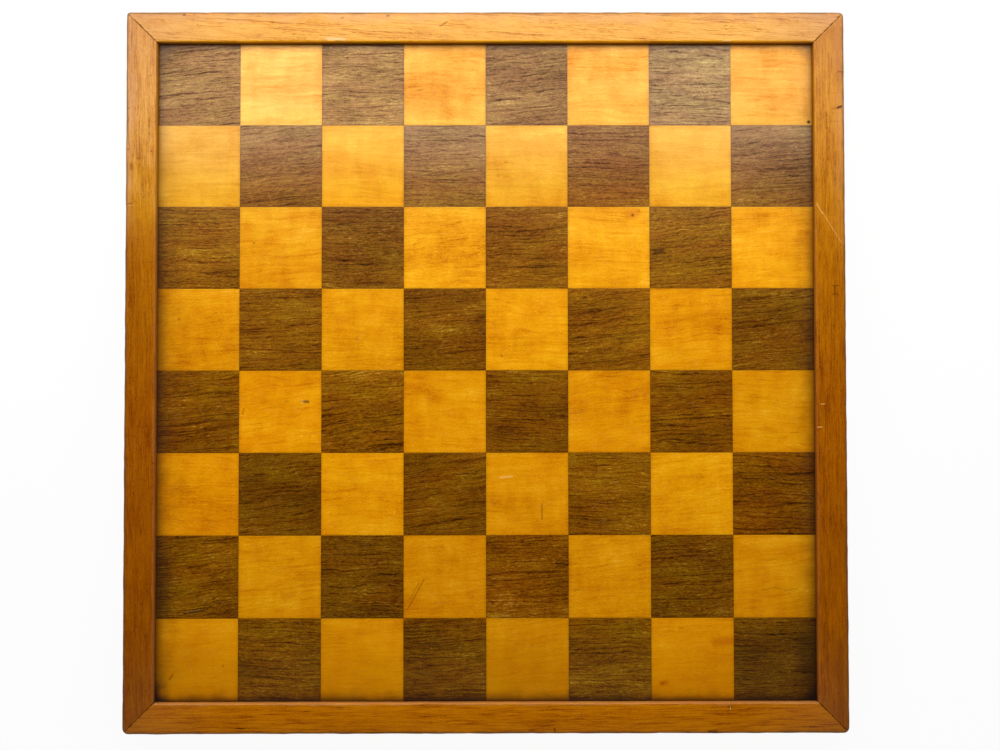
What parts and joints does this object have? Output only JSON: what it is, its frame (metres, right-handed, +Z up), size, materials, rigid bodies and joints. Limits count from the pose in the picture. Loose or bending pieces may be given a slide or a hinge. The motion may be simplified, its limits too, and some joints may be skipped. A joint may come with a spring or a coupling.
{
  "type": "chess board",
  "caption": "Flat wooden chess board of chequered veneer squares inside a mitred frame that stands a little proud, with a cloth-lined underside.",
  "frame": {"origin": "middle of the underside, on the surface that the board lies on", "axes": "+Z up out of the playing surface, +Y to the back edge, which is the top edge in the picture, +X to the right"},
  "size_m": [0.4444, 0.4444, 0.025],
  "materials": {
    "pale_veneer": "worn polish over pale close-grained veneer",
    "dark_veneer": "worn polish over dark open-grained veneer",
    "frame_wood": "worn polish, darker along its edges",
    "core_softwood": "planed softwood",
    "backing_wood": "plain veneer, scraped",
    "green_baize": "faded woollen baize",
    "brad_steel": "dull cut plate",
    "stopping_wax": "dark stopping wax"
  },
  "bodies": {
    "root": {"strip_1_light": "pale_veneer", "strip_1_dark": "dark_veneer", "strip_2_light": "pale_veneer", "strip_2_dark": "dark_veneer", "strip_3_light": "pale_veneer", "strip_3_dark": "dark_veneer", "strip_4_light": "pale_veneer", "strip_4_dark": "dark_veneer", "strip_5_light": "pale_veneer", "strip_5_dark": "dark_veneer", "strip_6_light": "pale_veneer", "strip_6_dark": "dark_veneer", "strip_7_light": "pale_veneer", "strip_7_dark": "dark_veneer", "strip_8_light": "pale_veneer", "strip_8_dark": "dark_veneer", "core_board_1": "core_softwood", "core_board_2": "core_softwood", "core_board_3": "core_softwood", "core_board_4": "core_softwood", "core_board_5": "core_softwood", "backing_veneer": "backing_wood", "baize_lining": "green_baize", "rail_front": "frame_wood", "rail_right": "frame_wood", "rail_back": "frame_wood", "rail_left": "frame_wood", "corner_brads": "brad_steel", "brad_stopping": "stopping_wax"}
  },
  "joints": []
}
